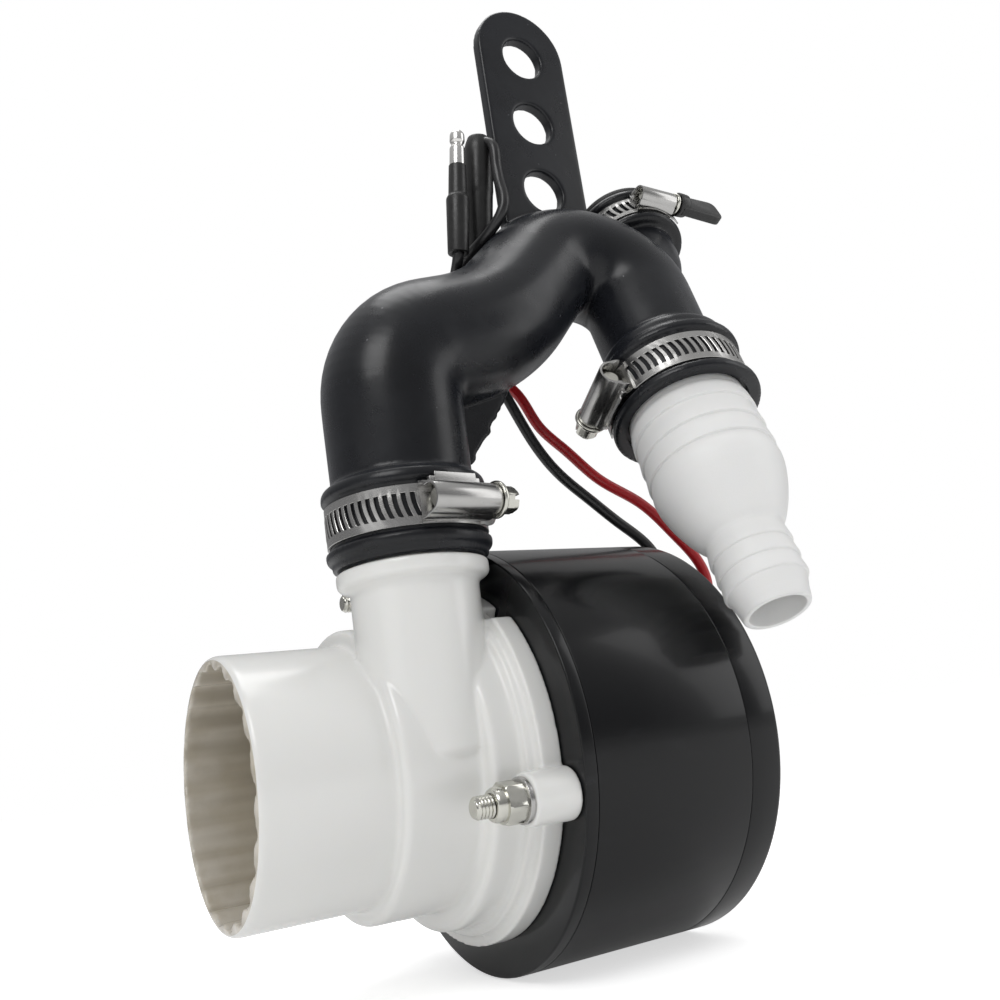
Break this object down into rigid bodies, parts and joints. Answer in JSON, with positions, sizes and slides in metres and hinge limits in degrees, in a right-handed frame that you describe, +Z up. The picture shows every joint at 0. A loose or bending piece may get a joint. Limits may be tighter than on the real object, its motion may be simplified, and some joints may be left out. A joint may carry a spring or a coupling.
{
  "type": "macerator pump with outlet hose",
  "caption": "Waste macerator pump: fluted inlet, upright discharge neck, moulded rubber gooseneck hose with hanging strap and capped branch, stepped adapter, clamps and leads.",
  "frame": {"origin": "centre of the inlet mouth, on the pump axis", "axes": "+X along the pump axis from the inlet to the motor cover, +Z up along the discharge neck, -Y towards the side the outlet leans to"},
  "size_m": [0.1995, 0.1485, 0.3305],
  "materials": {
    "white_plastic": "gloss moulded",
    "adapter_plastic": "satin moulded",
    "cover_plastic": "gloss black",
    "hose_rubber": "satin moulded rubber",
    "soft_rubber": "matt",
    "black_plastic": "satin",
    "stainless": "bright rolled",
    "bright_steel": "machined",
    "red_insulation": "satin",
    "black_insulation": "satin",
    "tinned_brass": "tin plated",
    "copper": "enamelled wire",
    "brass": "drawn",
    "cast_alloy": "die cast",
    "can_steel": "black paint",
    "ferrite": "sintered",
    "lamination": "stacked sheet",
    "impeller_plastic": "moulded",
    "card_plastic": "laminate",
    "carbon": "pressed carbon"
  },
  "bodies": {
    "pump": {"pump_housing": "white_plastic", "seal_plate": "white_plastic", "housing_o_ring": "soft_rubber", "shaft_seal": "soft_rubber", "stud_bolts": "bright_steel", "stud_washers": "stainless", "lock_nuts": "bright_steel", "cover_front_ring": "cover_plastic", "cover_sleeve": "cover_plastic", "cover_rear_cap": "cover_plastic", "cover_screws": "bright_steel", "cable_grommet": "soft_rubber", "motor_front_plate": "cast_alloy", "front_bearing": "bright_steel", "rear_bearing": "bright_steel", "motor_can": "can_steel", "motor_magnets": "ferrite", "motor_end_bell": "cast_alloy", "motor_through_bolts": "bright_steel", "brush_card": "card_plastic", "brush_holders": "brass", "brush_spring_upper": "stainless", "brush_spring_lower": "stainless", "discharge_hose": "hose_rubber", "hose_adapter": "adapter_plastic", "branch_plug": "soft_rubber", "duckbill_valve": "soft_rubber", "red_lead": "red_insulation", "black_lead": "black_insulation", "male_sleeve": "black_plastic", "bullet_pin": "tinned_brass", "female_sleeve": "black_plastic", "bullet_socket": "brass", "lower_clamp_band": "stainless", "lower_clamp_housing": "stainless", "upper_clamp_band": "stainless", "upper_clamp_housing": "stainless", "branch_clamp_band": "stainless", "branch_clamp_housing": "stainless"},
    "rotor": {"motor_shaft": "bright_steel", "armature_core": "lamination", "armature_windings": "copper", "commutator": "copper", "water_slinger": "soft_rubber", "impeller": "impeller_plastic", "chopper_plate": "stainless", "impeller_nut": "bright_steel"},
    "lower_screw": {"lower_clamp_screw": "bright_steel"},
    "upper_screw": {"upper_clamp_screw": "bright_steel"},
    "branch_screw": {"branch_clamp_screw": "bright_steel", "thumb_key": "black_plastic"},
    "brush_a": {"brush_upper": "carbon"},
    "brush_b": {"brush_lower": "carbon"}
  },
  "joints": [
    {"name": "rotor_spin", "type": "hinge", "parent": "pump", "child": "rotor", "pos_m": [0.08, 0, 0], "axis": [1, 0, 0], "continuous": true},
    {"name": "lower_clamp_screw_turn", "type": "hinge", "parent": "pump", "child": "lower_screw", "pos_m": [0.05825, -0.05237, 0.0685], "axis": [0.9903, 0.1392, 0], "continuous": true},
    {"name": "upper_clamp_screw_turn", "type": "hinge", "parent": "pump", "child": "upper_screw", "pos_m": [0.12259, -0.03928, 0.10657], "axis": [0.1732, 0.9115, -0.3729], "continuous": true},
    {"name": "branch_key_turn", "type": "hinge", "parent": "pump", "child": "branch_screw", "pos_m": [0.16932, -0.03072, 0.1899], "axis": [0.9979, 0.0082, -0.0638], "continuous": true},
    {"name": "brush_upper_lift", "type": "slide", "parent": "pump", "child": "brush_a", "axis": [0, 0, 1], "range_m": [0, 0.004], "stiffness_N_per_m": 400, "deforming": ["brush_spring_upper"]},
    {"name": "brush_lower_lift", "type": "slide", "parent": "pump", "child": "brush_b", "axis": [0, 0, -1], "range_m": [0, 0.004], "stiffness_N_per_m": 400, "deforming": ["brush_spring_lower"]}
  ]
}
